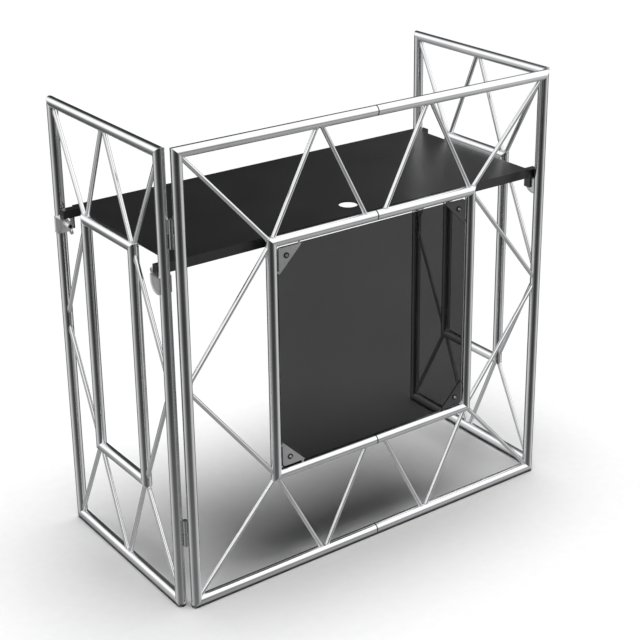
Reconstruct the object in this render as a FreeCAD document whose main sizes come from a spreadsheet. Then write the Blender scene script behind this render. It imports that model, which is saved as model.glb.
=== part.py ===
import FreeCAD, Part
import os
import re

# A folding DJ booth: a front frame of two plugged halves with a smoked panel, two hinged wings and a
# table on four post clamps. X runs to the right, Y to the rear and Z up. The origin is on the floor,
# under the middle of the booth.

# Driving sizes in millimetres, by piece.
SIZES = {
    # tubes and frames, measured between tube axes
    "frame_width": 1027,
    "frame_height": 1070,
    "wing_depth": 480,
    "tube_diameter": 25,
    "tube_wall": 2,
    "fold_clearance": 1,
    "window_width": 575,
    "window_height": 575,
    "wing_window_width": 216,
    # braces
    "brace_diameter": 10.5,
    "brace_foot_spread": 310,
    "seam_foot_spread": 48,
    "brace_foot_gap": 5,
    # plugged joint in the middle of the front rails
    "seam_gap": 1,
    "spigot_length": 120,
    "spigot_clearance": 0.1,
    # smoked panel and its corner plates
    "panel_side_gap": 4,
    "panel_end_gap": 3.2,
    "panel_shift": 1,
    "panel_drop": 2.2,
    "panel_thickness": 4,
    "panel_corner": 6,
    "gusset_gap": 5.5,
    "gusset_leg": 62,
    "gusset_thickness": 3,
    "gusset_tab": 4.5,
    "gusset_setback": 3,
    "panel_screw_inset": 20,
    "panel_screw_diameter": 6,
    "panel_screw_head": 8.5,
    "panel_screw_crown": 5.5,
    "panel_screw_height": 3,
    "panel_screw_socket": 4,
    "panel_screw_socket_depth": 1.6,
    "panel_screw_clearance": 0.2,
    "panel_washer_diameter": 13.5,
    "panel_washer_thickness": 1.5,
    "panel_nut_across": 11,
    "panel_nut_height": 5,
    # hinges between the front posts and the wings
    "hinge_length": 66,
    "hinge_spread": 716,
    "hinge_gap": 0.6,
    "hinge_barrel_diameter": 11.2,
    "hinge_pin_diameter": 6,
    "hinge_pin_clearance": 0.05,
    "hinge_web": 5,
    # table
    "table_height": 832.5,
    "tabletop_side_gap": 12,
    "tabletop_thickness": 3,
    "bar_end_reach": 8.5,
    "bar_width": 20,
    "bar_height": 20,
    "bar_wall": 2,
    "bar_post_gap": 2,
    "plug_cap": 2.5,
    "plug_depth": 14,
    "plug_clearance": 0.1,
    "tab_thickness": 3,
    "tab_drop": 27,
    "tab_clearance": 0.5,
    "cable_hole_diameter": 45,
    "cable_hole_inset": 63.5,
    # post clamps under the bar ends, with their studs
    "clamp_width": 31,
    "clamp_height": 40,
    "clamp_wrap": 2,
    "clamp_reach": 35,
    "clamp_lower_radius": 27,
    "clamp_seat_gap": 0.3,
    "stud_drop": 14.5,
    "stud_diameter": 8,
    "stud_clearance": 0.05,
    "stud_end": 3,
    # wing nuts that tighten the clamps
    "nut_seat_gap": 0.3,
    "nut_height": 13,
    "nut_base_diameter": 17,
    "nut_neck_diameter": 12,
    "nut_wing_span": 42,
    "nut_wing_thickness": 4,
    "nut_wing_radius": 7.5,
    "nut_wing_lift": 4,
}

# Sizes that follow from the driving ones.
DERIVED = {
    "tube_radius": "tube_diameter / 2",
    "bore_radius": "tube_radius - tube_wall",
    "brace_radius": "brace_diameter / 2",
    "half_width": "frame_width / 2",
    "bottom_z": "tube_radius",
    "top_z": "bottom_z + frame_height",
    "middle_z": "bottom_z + frame_height / 2",
    "window_half": "window_width / 2",
    "window_bottom_z": "middle_z - window_height / 2",
    "window_top_z": "middle_z + window_height / 2",
    "wing_offset": "tube_diameter + fold_clearance",
    "wing_x": "half_width + wing_offset",
    "front_y": "-(wing_offset + wing_depth) / 2",
    "wing_front_y": "front_y + wing_offset",
    "wing_rear_y": "wing_front_y + wing_depth",
    "wing_middle_y": "wing_front_y + wing_depth / 2",
    "wing_window_half": "wing_window_width / 2",
    "foot_offset": "brace_foot_gap / 2",
    "rail_foot": "brace_foot_spread / 2",
    "seam_foot": "seam_foot_spread / 2",
    "spigot_radius": "bore_radius - spigot_clearance",
    "panel_half_width": "window_half - tube_radius - panel_side_gap",
    "panel_half_height": "window_height / 2 - tube_radius - panel_end_gap",
    "panel_middle_z": "middle_z - panel_drop",
    "gusset_x": "window_half - tube_radius - gusset_gap",
    "gusset_rise": "window_height / 2 - tube_radius - gusset_gap",
    "gusset_front_y": "front_y - gusset_setback",
    "gusset_middle_y": "gusset_front_y + gusset_thickness / 2",
    "panel_front_y": "gusset_front_y + gusset_thickness",
    "panel_screw_hole": "panel_screw_diameter / 2 + panel_screw_clearance",
    "panel_screw_x": "gusset_x - panel_screw_inset",
    "panel_screw_rise": "gusset_rise - panel_screw_inset",
    "hinge_x": "half_width + wing_offset / 2",
    "hinge_y": "front_y + wing_offset / 2",
    "hinge_half": "hinge_length / 2",
    "knuckle_length": "hinge_half - hinge_gap / 2",
    "hinge_pin_hole": "hinge_pin_diameter / 2 + hinge_pin_clearance",
    "bar_top_z": "table_height - tabletop_thickness",
    "bar_bottom_z": "bar_top_z - bar_height",
    "bar_reach": "tube_radius + bar_post_gap",
    "bar_length": "2 * (wing_x + bar_end_reach)",
    "tabletop_width": "2 * (wing_x - tube_radius - tabletop_side_gap)",
    "front_bar_y": "wing_front_y + bar_reach",
    "rear_bar_y": "wing_rear_y - bar_reach - bar_width",
    "tabletop_depth": "rear_bar_y + bar_width - front_bar_y",
    "bar_tube_length": "bar_length - 2 * plug_cap",
    "plug_width": "bar_width - 2 * bar_wall - 2 * plug_clearance",
    "plug_height": "bar_height - 2 * bar_wall - 2 * plug_clearance",
    "clamp_top_z": "bar_bottom_z - clamp_seat_gap",
    "tab_x": "wing_x - clamp_width / 2 - tab_clearance - tab_thickness",
    "stud_radius": "stud_diameter / 2",
    "stud_hole": "stud_radius + stud_clearance",
    "stud_z": "clamp_top_z - stud_drop",
    "stud_length": "clamp_reach + nut_seat_gap + nut_height + stud_end",
    "nut_wing_reach": "nut_wing_span / 2 - nut_wing_radius",
}

HALF_TURN = 180
QUARTER_TURN = 90
NUT_TURN = 80

X_AXIS = FreeCAD.Vector(1, 0, 0)
Y_AXIS = FreeCAD.Vector(0, 1, 0)
Z_AXIS = FreeCAD.Vector(0, 0, 1)
AXES = {"x": X_AXIS, "y": Y_AXIS, "z": Z_AXIS}
SIDES = {"left": -1, "right": 1}

doc = FreeCAD.newDocument("dj_booth")
sheet = doc.addObject("Spreadsheet::Sheet", "sizes")
for row, (alias, value) in enumerate(SIZES.items(), start=1):
    sheet.set(f"A{row}", alias)
    sheet.set(f"B{row}", str(value))
    sheet.setAlias(f"B{row}", alias)
doc.recompute()

nodes = []


def formula(text):
    """Spell a formula out in cells of the sheet."""
    def spell(match):
        word = match.group(0)
        if word in DERIVED:
            return f"({formula(DERIVED[word])})"
        return f"sizes.{word}" if word in SIZES else word
    return re.sub(r"[a-z][a-z_]*", spell, text)


def bind(item, values):
    """Tie properties of an item to formulas."""
    for path, text in values.items():
        item.setExpression(path, formula(text))


def place(item, point, rotation=None):
    """Turn an item and tie its place to three formulas."""
    if rotation is not None:
        item.Placement = FreeCAD.Placement(FreeCAD.Vector(), rotation)
    bind(item, {f"Placement.Base.{axis}": text for axis, text in zip("xyz", point)})
    return item


def make(kind, label, values):
    """Add a primitive whose sizes follow formulas."""
    item = doc.addObject(kind, label)
    item.Label = label
    bind(item, values)
    return item


def cylinder(label, radius, height, point=("0", "0", "0"), rotation=None):
    item = make("Part::Cylinder", label, {"Radius": radius, "Height": height})
    return place(item, point, rotation)


def box(label, length, width, height, point, rotation=None):
    item = make("Part::Box", label, {"Length": length, "Width": width, "Height": height})
    return place(item, point, rotation)


def wedge(label, low, high, low_end, high_end, rotation=None, point=("0", "0", "0")):
    """A prism whose X and Z spans change from (low, high) at the near face to the far face's spans."""
    names = ("Xmin", "Ymin", "Zmin", "Xmax", "Ymax", "Zmax", "X2min", "Z2min", "X2max", "Z2max")
    item = make("Part::Wedge", label, dict(zip(names, (*low, *high, *low_end, *high_end))))
    return place(item, point, rotation)


def block(label, low, high, point=("0", "0", "0"), rotation=None):
    """A box between two corners, turned about its own zero."""
    ends = ((low[0], low[2]), (high[0], high[2]))
    return wedge(label, low, high, *ends, rotation, point)


def cut(label, base, tool):
    item = doc.addObject("Part::Cut", label)
    item.Label = label
    item.Base = base
    item.Tool = tool
    return item


def common(label, base, tool):
    item = doc.addObject("Part::Common", label)
    item.Label = label
    item.Base = base
    item.Tool = tool
    return item


def fuse(label, shapes):
    item = doc.addObject("Part::MultiFuse", label)
    item.Label = label
    item.Shapes = shapes
    return item


def group(label, items):
    """Separate solids that share one node."""
    item = doc.addObject("Part::Compound", label)
    item.Label = label
    item.Links = items
    return item


def node(item):
    """Keep an item as a finished piece of the booth."""
    nodes.append(item)
    return item


def turned(axis, outward):
    """The rotation that lays a piece's Z along an axis and its -Y towards the outside."""
    return FreeCAD.Rotation(outward.cross(axis), -outward, axis, "ZYX")


def tube(label, start, axis, outward, length, mitred=(True, True)):
    """A round tube between two corners, cut at 45 degrees at its mitred ends.

    Returns the uncut outer cylinder, which copes the braces that meet the tube.
    """
    rotation = turned(AXES[axis], outward)
    foot = [f"{text} - tube_radius" if axis == name else text for name, text in zip("xyz", start)]
    reach = f"({length}) + tube_diameter"
    outer = cylinder(f"{label}_outer", "tube_radius", reach, foot, rotation)
    inner = cylinder(f"{label}_bore", "bore_radius", reach, foot, rotation)
    hollow = cut(f"{label}_wall", outer, inner)
    near = "tube_radius" if mitred[0] else "0"
    far = "tube_radius" if mitred[1] else "0"
    mitre = wedge(
        f"{label}_mitre",
        ("-tube_radius", "-tube_radius", f"-{near}"),
        ("tube_radius", "tube_radius", f"({length}) + {far}"),
        ("-tube_radius", near),
        ("tube_radius", f"({length}) - {far}"),
        rotation,
        start,
    )
    node(common(label, hollow, mitre))
    return outer


def brace(label, across, plane, start, end, envelope):
    """A rod between two points of a frame's plane, coped to the tubes that it meets."""
    run = f"(({end[0]}) - ({start[0]}))"
    rise = f"(({end[1]}) - ({start[1]}))"
    swing = Y_AXIS if across == "x" else -X_AXIS
    point = (start[0], plane, start[1]) if across == "x" else (plane, start[0], start[1])
    rod = cylinder(f"{label}_rod", "brace_radius", f"hypot({run}; {rise})", point)
    rod.Placement = FreeCAD.Placement(FreeCAD.Vector(), FreeCAD.Rotation(swing, QUARTER_TURN))
    bind(rod, {"Placement.Rotation.Angle": f"atan2({run}; {rise})"})
    return cut(label, rod, envelope)


def signed(sign, text):
    """A formula with its sign, so that one description serves both sides."""
    return f"{sign} * ({text})"


def front_frame():
    """The tubes of the front frame and of its window."""
    outers = []
    frames = {
        "front": ("half_width", "bottom_z", "frame_height"),
        "window": ("window_half", "window_bottom_z", "window_height"),
    }
    levels = {"top": Z_AXIS, "bottom": -Z_AXIS}
    for side, sign in SIDES.items():
        at_left = side == "left"
        ends = (True, False) if at_left else (False, True)
        for frame, (half, low, height) in frames.items():
            corner = signed(sign, half)
            outers.append(tube(f"{frame}_{side}_post", (corner, "front_y", low), "z", X_AXIS * sign, height))
            rail_x = corner if at_left else "seam_gap / 2"
            for level, up in levels.items():
                rail_z = f"{level}_z" if frame == "front" else f"window_{level}_z"
                label = f"{frame}_{level}_rail_{side}"
                length = f"{half} - seam_gap / 2"
                outers.append(tube(label, (rail_x, "front_y", rail_z), "x", up, length, ends))
    return fuse("front_envelope", outers)


def front_braces(envelope):
    """The slanting rods between the front frame and its window, one group for each half."""
    for side, sign in SIDES.items():
        corner = signed(sign, "half_width")
        window_corner = signed(sign, "window_half")
        near_foot = signed(sign, "rail_foot - foot_offset")
        far_foot = signed(sign, "rail_foot + foot_offset")
        seam_foot = signed(sign, "seam_foot")
        rods = []
        for level, lift in {"top": 1, "bottom": -1}.items():
            rail_z = f"{level}_z"
            window_z = f"window_{level}_z"
            side_z = f"middle_z + {signed(lift, 'foot_offset')}"
            runs = {
                "corner": ((corner, rail_z), (window_corner, window_z)),
                "outer": ((window_corner, window_z), (far_foot, rail_z)),
                "inner": ((near_foot, rail_z), (seam_foot, window_z)),
                "side": ((window_corner, window_z), (corner, side_z)),
            }
            for name, (start, end) in runs.items():
                label = f"front_{side}_{level}_{name}_brace"
                rods.append(brace(label, "x", "front_y", start, end, envelope))
        node(group(f"front_{side}_braces", rods))


def rail_spigots():
    """Plugs inside the rails that join the two halves of the front frame."""
    along_x = turned(X_AXIS, Z_AXIS)
    spigots = []
    for level in ("top_z", "bottom_z", "window_top_z", "window_bottom_z"):
        point = ("-spigot_length / 2", "front_y", level)
        spigots.append(cylinder(f"spigot_{level}", "spigot_radius", "spigot_length", point, along_x))
    node(group("rail_spigots", spigots))


def corner_turn(sign, lift):
    """Turn a plate drawn from its corner into that corner of the window."""
    return FreeCAD.Rotation(X_AXIS * -sign, Z_AXIS * -lift, Y_AXIS * -sign * lift, "ZYX")


def corner_waste(label, thickness):
    """What rounding takes off a plate whose corner is at the origin."""
    square = box(f"{label}_square", "panel_corner", "panel_corner", thickness, ("0", "0", "0"))
    kept = cylinder(f"{label}_kept", "panel_corner", thickness, ("panel_corner", "panel_corner", "0"))
    return cut(f"{label}_waste", square, kept)


def gusset(label, sign, lift, envelope):
    """A three-cornered plate with two welding tabs, set in one corner of the window."""
    plate = wedge(
        f"{label}_plate", ("0", "0", "0"), ("gusset_leg", "gusset_leg", "gusset_thickness"),
        ("0", "0"), ("0", "gusset_thickness"),
    )
    tab_place = "gusset_leg - 2 * gusset_tab"
    tab_reach = "gusset_gap + tube_wall"
    rail_tab = box(
        f"{label}_rail_tab", "gusset_tab", f"{tab_reach} + gusset_tab", "gusset_thickness",
        (tab_place, f"-({tab_reach})", "0"),
    )
    post_tab = box(
        f"{label}_post_tab", f"{tab_reach} + gusset_tab", "gusset_tab", "gusset_thickness",
        (f"-({tab_reach})", tab_place, "0"),
    )
    hole_point = ("panel_screw_inset", "panel_screw_inset", "0")
    hole = cylinder(f"{label}_hole", "panel_screw_hole", "gusset_thickness", hole_point)
    openings = fuse(f"{label}_openings", [hole, corner_waste(label, "gusset_thickness")])
    blank = cut(f"{label}_blank", fuse(f"{label}_outline", [plate, rail_tab, post_tab]), openings)
    corner_z = f"middle_z + {signed(lift, 'gusset_rise')}"
    base_y = f"gusset_middle_y + {signed(sign * lift, 'gusset_thickness / 2')}"
    place(blank, (signed(sign, "gusset_x"), base_y, corner_z), corner_turn(sign, lift))
    return cut(label, blank, envelope)


def panel_corner(name, sign, lift):
    """What rounding takes off one corner of the smoked sheet."""
    waste = corner_waste(f"{name}_panel", "panel_thickness")
    corner_x = f"panel_shift + {signed(sign, 'panel_half_width')}"
    corner_z = f"panel_middle_z + {signed(lift, 'panel_half_height')}"
    base_y = "panel_front_y" if sign * lift < 0 else "panel_front_y + panel_thickness"
    return place(waste, (corner_x, base_y, corner_z), corner_turn(sign, lift))


def panel_fastener(name, x, z):
    """One corner's screw with its closed nut, its washer, and the hole for it in the panel."""
    to_front = FreeCAD.Rotation(X_AXIS, QUARTER_TURN)
    seat = (x, "gusset_front_y", z)
    under_head = (x, "gusset_front_y - panel_washer_thickness", z)
    panel_back = (x, "panel_front_y + panel_thickness", z)
    nut_back = (x, "panel_front_y + panel_thickness + panel_nut_height", z)
    screw_radius = "panel_screw_diameter / 2"
    disc = cylinder(f"{name}_disc", "panel_washer_diameter / 2", "panel_washer_thickness", seat, to_front)
    eye = cylinder(f"{name}_eye", "panel_screw_hole", "panel_washer_thickness", seat, to_front)
    washer = cut(f"{name}_washer", disc, eye)
    head_sizes = {
        "Radius1": "panel_screw_head / 2",
        "Radius2": "panel_screw_crown / 2",
        "Height": "panel_screw_height",
    }
    head = place(make("Part::Cone", f"{name}_screw_head", head_sizes), under_head, to_front)
    shank_length = "panel_nut_height + panel_thickness + gusset_thickness + panel_washer_thickness"
    shank = cylinder(f"{name}_screw_shank", screw_radius, shank_length, nut_back, to_front)
    nut_sizes = {"Circumradius": "panel_nut_across / 2", "Height": "panel_nut_height"}
    nut = place(make("Part::Prism", f"{name}_nut", nut_sizes), nut_back, to_front)
    socket_sizes = {"Circumradius": "panel_screw_socket / 2", "Height": "panel_screw_socket_depth"}
    head_lift = "panel_washer_thickness + panel_screw_height - panel_screw_socket_depth"
    socket_point = (x, f"gusset_front_y - ({head_lift})", z)
    socket = place(make("Part::Prism", f"{name}_socket", socket_sizes), socket_point, to_front)
    screw = cut(f"{name}_screw", fuse(f"{name}_screw_blank", [head, shank, nut]), socket)
    hole = cylinder(f"{name}_panel_hole", "panel_screw_hole", "panel_thickness", panel_back, to_front)
    return screw, washer, hole


def smoked_panel(envelope):
    """The smoked sheet in the window, its corner plates and its fasteners."""
    screws = []
    washers = []
    openings = []
    for side, sign in SIDES.items():
        plates = []
        for level, lift in {"top": 1, "bottom": -1}.items():
            name = f"{side}_{level}"
            plates.append(gusset(f"{name}_gusset", sign, lift, envelope))
            z = f"middle_z + {signed(lift, 'panel_screw_rise')}"
            screw, washer, hole = panel_fastener(name, signed(sign, "panel_screw_x"), z)
            screws.append(screw)
            washers.append(washer)
            openings += [hole, panel_corner(name, sign, lift)]
        node(group(f"{side}_gussets", plates))
    sheet_blank = box(
        "smoked_panel_blank", "2 * panel_half_width", "panel_thickness", "2 * panel_half_height",
        ("panel_shift - panel_half_width", "panel_front_y", "panel_middle_z - panel_half_height"),
    )
    node(cut("smoked_panel", sheet_blank, fuse("smoked_panel_openings", openings)))
    node(group("panel_screws", screws))
    node(group("panel_washers", washers))


def wing_frame(side, sign):
    """The tubes of one wing and of its window."""
    x = signed(sign, "wing_x")
    outers = []
    window_ends = {
        "front": "wing_middle_y - wing_window_half",
        "rear": "wing_middle_y + wing_window_half",
    }
    for end, outward in {"front": -Y_AXIS, "rear": Y_AXIS}.items():
        start = (x, f"wing_{end}_y", "bottom_z")
        outers.append(tube(f"{side}_wing_{end}_post", start, "z", outward, "frame_height"))
        start = (x, window_ends[end], "window_bottom_z")
        outers.append(tube(f"{side}_wing_window_{end}_post", start, "z", outward, "window_height"))
    for level, up in {"top": Z_AXIS, "bottom": -Z_AXIS}.items():
        start = (x, "wing_front_y", f"{level}_z")
        outers.append(tube(f"{side}_wing_{level}_rail", start, "y", up, "wing_depth"))
        start = (x, window_ends["front"], f"window_{level}_z")
        outers.append(tube(f"{side}_wing_window_{level}_rail", start, "y", up, "wing_window_width"))
    return fuse(f"{side}_wing_envelope", outers)


def wing_braces(side, sign, envelope):
    """The slanting rods between one wing's frame and its window."""
    x = signed(sign, "wing_x")
    rods = []
    for end, way in {"front": -1, "rear": 1}.items():
        post = f"wing_{end}_y"
        window_post = f"wing_middle_y + {signed(way, 'wing_window_half')}"
        outer_foot = f"{window_post} + {signed(way, 'foot_offset')}"
        inner_foot = f"{window_post} - {signed(way, 'foot_offset')}"
        middle_foot = f"wing_middle_y + {signed(way, 'foot_offset')}"
        for level, lift in {"top": 1, "bottom": -1}.items():
            rail_z = f"{level}_z"
            window_z = f"window_{level}_z"
            side_z = f"middle_z + {signed(lift, 'foot_offset')}"
            runs = {
                "corner": ((post, rail_z), (outer_foot, window_z)),
                "inner": ((inner_foot, window_z), (middle_foot, rail_z)),
                "side": ((window_post, window_z), (post, side_z)),
            }
            for name, (start, finish) in runs.items():
                rods.append(brace(f"{side}_{end}_{level}_{name}_brace", "y", x, start, finish, envelope))
    node(group(f"{side}_wing_braces", rods))


def knuckle(label, centre, foot_z, turn, envelope):
    """A hinge barrel with the web that is welded to its post."""
    point = (*centre, foot_z)
    barrel = cylinder(f"{label}_barrel", "hinge_barrel_diameter / 2", "knuckle_length", point)
    far = ("hinge_x - half_width", "hinge_web / 2", "knuckle_length")
    web = block(f"{label}_web", ("0", "-hinge_web / 2", "0"), far, point, FreeCAD.Rotation(Z_AXIS, turn))
    blank = cut(f"{label}_blank", fuse(f"{label}_body", [barrel, web]), envelope)
    hole = cylinder(f"{label}_hole", "hinge_pin_hole", "knuckle_length", point)
    return cut(label, blank, hole)


def hinges(front_envelope, wing_envelopes):
    """Two weld-on hinges for each wing: the frame's knuckle below, the wing's above, and a pin."""
    frame_knuckles = []
    pins = []
    for side, sign in SIDES.items():
        centre = (signed(sign, "hinge_x"), "hinge_y")
        to_frame = -QUARTER_TURN / 2 if sign < 0 else -QUARTER_TURN * 3 / 2
        wing_knuckles = []
        for level, lift in {"upper": 1, "lower": -1}.items():
            name = f"{side}_{level}_hinge"
            middle = f"middle_z + {signed(lift, 'hinge_spread / 2')}"
            low = f"{middle} - hinge_half"
            high = f"{middle} + hinge_gap / 2"
            frame_knuckles.append(knuckle(f"{name}_frame_knuckle", centre, low, to_frame, front_envelope))
            to_wing = to_frame + HALF_TURN
            wing_knuckles.append(knuckle(f"{name}_wing_knuckle", centre, high, to_wing, wing_envelopes[side]))
            pins.append(cylinder(f"{name}_pin", "hinge_pin_diameter / 2", "hinge_length", (*centre, low)))
        node(group(f"{side}_wing_hinge_knuckles", wing_knuckles))
    node(group("frame_hinge_knuckles", frame_knuckles))
    node(group("hinge_pins", pins))


def table():
    """The thin tabletop on two bars, with tabs that sit between the clamps and plugs in the bar ends."""
    blank = box(
        "tabletop_blank", "tabletop_width", "tabletop_depth", "tabletop_thickness",
        ("-tabletop_width / 2", "front_bar_y", "bar_top_z"),
    )
    hole_point = ("0", "front_bar_y + cable_hole_inset", "bar_top_z")
    hole = cylinder("cable_hole", "cable_hole_diameter / 2", "tabletop_thickness", hole_point)
    node(cut("tabletop", blank, hole))
    plugs = []
    tabs = []
    for end in ("front", "rear"):
        bar_y = f"{end}_bar_y"
        outside = box(
            f"{end}_bar_outside", "bar_tube_length", "bar_width", "bar_height",
            ("-bar_tube_length / 2", bar_y, "bar_bottom_z"),
        )
        inside = box(
            f"{end}_bar_inside", "bar_tube_length", "bar_width - 2 * bar_wall", "bar_height - 2 * bar_wall",
            ("-bar_tube_length / 2", f"{bar_y} + bar_wall", "bar_bottom_z + bar_wall"),
        )
        node(cut(f"table_{end}_bar", outside, inside))
        for side in SIDES:
            name = f"{end}_{side}_plug"
            at_left = side == "left"
            cap_x = "-bar_length / 2" if at_left else "bar_tube_length / 2"
            stub_x = "-bar_tube_length / 2" if at_left else "bar_tube_length / 2 - plug_depth"
            cap = box(f"{name}_cap", "plug_cap", "bar_width", "bar_height", (cap_x, bar_y, "bar_bottom_z"))
            inset = "bar_wall + plug_clearance"
            stub_point = (stub_x, f"{bar_y} + {inset}", f"bar_bottom_z + {inset}")
            stub = box(f"{name}_stub", "plug_depth", "plug_width", "plug_height", stub_point)
            plugs.append(fuse(name, [cap, stub]))
            tab_x = "-tab_x - tab_thickness" if at_left else "tab_x"
            tab_point = (tab_x, bar_y, "bar_bottom_z - tab_drop")
            tabs.append(box(f"{end}_{side}_tab", "tab_thickness", "bar_width", "tab_drop", tab_point))
    node(group("bar_end_plugs", plugs))
    node(group("bar_tabs", tabs))


def clamp_saddle(label):
    """A clamp body with a round seat for the post, a curved underside and the hole for the stud.

    It is drawn with the post on the Z axis, its top at zero and its face towards +Y.
    """
    along_x = turned(X_AXIS, Z_AXIS)
    bend_y = "clamp_reach - clamp_lower_radius"
    bend_z = "clamp_lower_radius - clamp_height"
    low = ("-clamp_width / 2", "-clamp_wrap", bend_z)
    upper = block(f"{label}_upper", low, ("clamp_width / 2", "clamp_reach", "0"))
    bend = cylinder(
        f"{label}_bend", "clamp_lower_radius", "clamp_width", ("-clamp_width / 2", bend_y, bend_z), along_x,
    )
    room = block(
        f"{label}_room", ("-clamp_width / 2", "-clamp_wrap", "-clamp_height"),
        ("clamp_width / 2", "clamp_reach", "0"),
    )
    body = common(f"{label}_body", room, fuse(f"{label}_profile", [upper, bend]))
    seat = cylinder(f"{label}_seat", "tube_radius", "clamp_height", ("0", "0", "-clamp_height"))
    along_y = FreeCAD.Rotation(X_AXIS, -QUARTER_TURN)
    stud_hole = cylinder(f"{label}_stud_hole", "stud_hole", "clamp_reach", ("0", "0", "-stud_drop"), along_y)
    return cut(label, body, fuse(f"{label}_holes", [seat, stud_hole]))


def clamp_stud(label):
    """The stud that is welded to the post and carries the clamp, coped to the post."""
    along_y = FreeCAD.Rotation(X_AXIS, -QUARTER_TURN)
    rod = cylinder(f"{label}_rod", "stud_radius", "stud_length", ("0", "0", "-stud_drop"), along_y)
    post = cylinder(f"{label}_post", "tube_radius", "clamp_height", ("0", "0", "-clamp_height"))
    return cut(label, rod, post)


def wing_nut(label):
    """A nut with two round raised wings, drawn with its thread on the Z axis and its seat at zero."""
    hub = make(
        "Part::Cone", f"{label}_hub",
        {"Radius1": "nut_base_diameter / 2", "Radius2": "nut_neck_diameter / 2", "Height": "nut_height"},
    )
    across = FreeCAD.Rotation(X_AXIS, QUARTER_TURN)
    wing_z = "nut_wing_lift + nut_wing_radius"
    pieces = [hub]
    for side, sign in SIDES.items():
        point = (signed(sign, "nut_wing_reach"), "nut_wing_thickness / 2", wing_z)
        wing = cylinder(f"{label}_{side}_wing", "nut_wing_radius", "nut_wing_thickness", point, across)
        pieces.append(wing)
    thread = cylinder(f"{label}_thread", "stud_hole", f"{wing_z} + nut_wing_radius")
    return cut(label, fuse(f"{label}_body", pieces), thread)


def clamps(side, sign):
    """The two post clamps of one wing, with their studs and wing nuts."""
    x = signed(sign, "wing_x")
    for end, way in {"front": 1, "rear": -1}.items():
        point = (x, f"wing_{end}_y", "clamp_top_z")
        inward = FreeCAD.Rotation(Z_AXIS, 0 if end == "front" else HALF_TURN)
        node(place(clamp_saddle(f"{side}_{end}_clamp_saddle"), point, inward))
        node(place(clamp_stud(f"{side}_{end}_clamp_stud"), point, inward))
        nut_y = f"wing_{end}_y + {signed(way, 'clamp_reach + nut_seat_gap')}"
        facing = FreeCAD.Rotation(X_AXIS, -QUARTER_TURN * way) * FreeCAD.Rotation(Z_AXIS, NUT_TURN * way)
        node(place(wing_nut(f"{side}_{end}_wing_nut"), (x, nut_y, "stud_z"), facing))


def check_and_write():
    """Stop on a failed or invalid piece, then write each node's solids."""
    doc.recompute()
    for item in doc.Objects:
        if "Invalid" in item.State or "Error" in item.State:
            raise RuntimeError(f"{item.Label} did not compute: {item.State}")
    for item in nodes:
        if item.Shape.isNull() or not item.Shape.isValid() or not item.Shape.Solids:
            raise RuntimeError(f"{item.Label} is not a valid solid")
    os.makedirs("parts", exist_ok=True)
    for item in nodes:
        item.Shape.exportStep(os.path.join("parts", f"{item.Label}.step"))
        print(f"{item.Label}: {len(item.Shape.Solids)} solids, {item.Shape.Volume:.0f} cubic mm")


front_envelope = front_frame()
front_braces(front_envelope)
rail_spigots()
smoked_panel(front_envelope)
wing_envelopes = {}
for wing_side, wing_sign in SIDES.items():
    wing_envelopes[wing_side] = wing_frame(wing_side, wing_sign)
    wing_braces(wing_side, wing_sign, wing_envelopes[wing_side])
hinges(front_envelope, wing_envelopes)
table()
for wing_side, wing_sign in SIDES.items():
    clamps(wing_side, wing_sign)
check_and_write()
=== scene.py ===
"""Finishes, welds and studio for the folding DJ booth."""

import logging
import math
from abc import ABC, abstractmethod
from dataclasses import dataclass, field
from enum import Enum

import bmesh
import bpy
from mathutils import Matrix, Vector


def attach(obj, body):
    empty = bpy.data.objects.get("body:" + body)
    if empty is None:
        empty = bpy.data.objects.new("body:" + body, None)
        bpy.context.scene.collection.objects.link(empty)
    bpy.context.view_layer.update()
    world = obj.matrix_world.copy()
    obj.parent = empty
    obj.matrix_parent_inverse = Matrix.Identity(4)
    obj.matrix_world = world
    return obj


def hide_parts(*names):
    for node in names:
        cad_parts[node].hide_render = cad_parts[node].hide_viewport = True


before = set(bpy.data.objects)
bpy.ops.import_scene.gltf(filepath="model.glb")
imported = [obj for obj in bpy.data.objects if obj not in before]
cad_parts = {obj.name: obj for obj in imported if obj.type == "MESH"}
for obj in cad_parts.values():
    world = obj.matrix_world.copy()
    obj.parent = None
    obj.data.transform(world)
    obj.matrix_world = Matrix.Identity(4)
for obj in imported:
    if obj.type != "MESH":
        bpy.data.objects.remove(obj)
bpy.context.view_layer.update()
log = logging.getLogger("dj_booth")

Colour = tuple[float, float, float]
Way = tuple[float, float, float]
Stops = tuple[tuple[float, float], ...]

PATTERN_LOW = 0.3
PATTERN_HIGH = 0.7
MIX_SHARE = 0
MIX_FIRST = 6
MIX_SECOND = 7
MIX_COLOUR = 2
FRAME_BODY = "front_frame"
TUBE_SLOT = "polished_aluminium"
CAST_SLOT = "cast_aluminium"


class Direction(Enum):
    """A choice of two places, each with its direction along an axis."""

    @property
    def word(self) -> str:
        """The place's name as the nodes spell it."""
        return self.name.lower()


class Side(Direction):
    """The left or the right side of the booth, along X."""

    LEFT = -1
    RIGHT = 1


class End(Direction):
    """The front or the rear end of a wing, along Y."""

    FRONT = -1
    REAR = 1


class Level(Direction):
    """The top or the bottom of a frame, along Z."""

    TOP = 1
    BOTTOM = -1


class Grain(Enum):
    """How a metal's fine lines run: the stretch of their pattern along X, Y and Z."""

    ALONG_X = (0.02, 1.0, 1.0)
    ALONG_Y = (1.0, 0.02, 1.0)
    ALONG_Z = (1.0, 1.0, 0.02)
    EVEN = (1.0, 1.0, 1.0)


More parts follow.
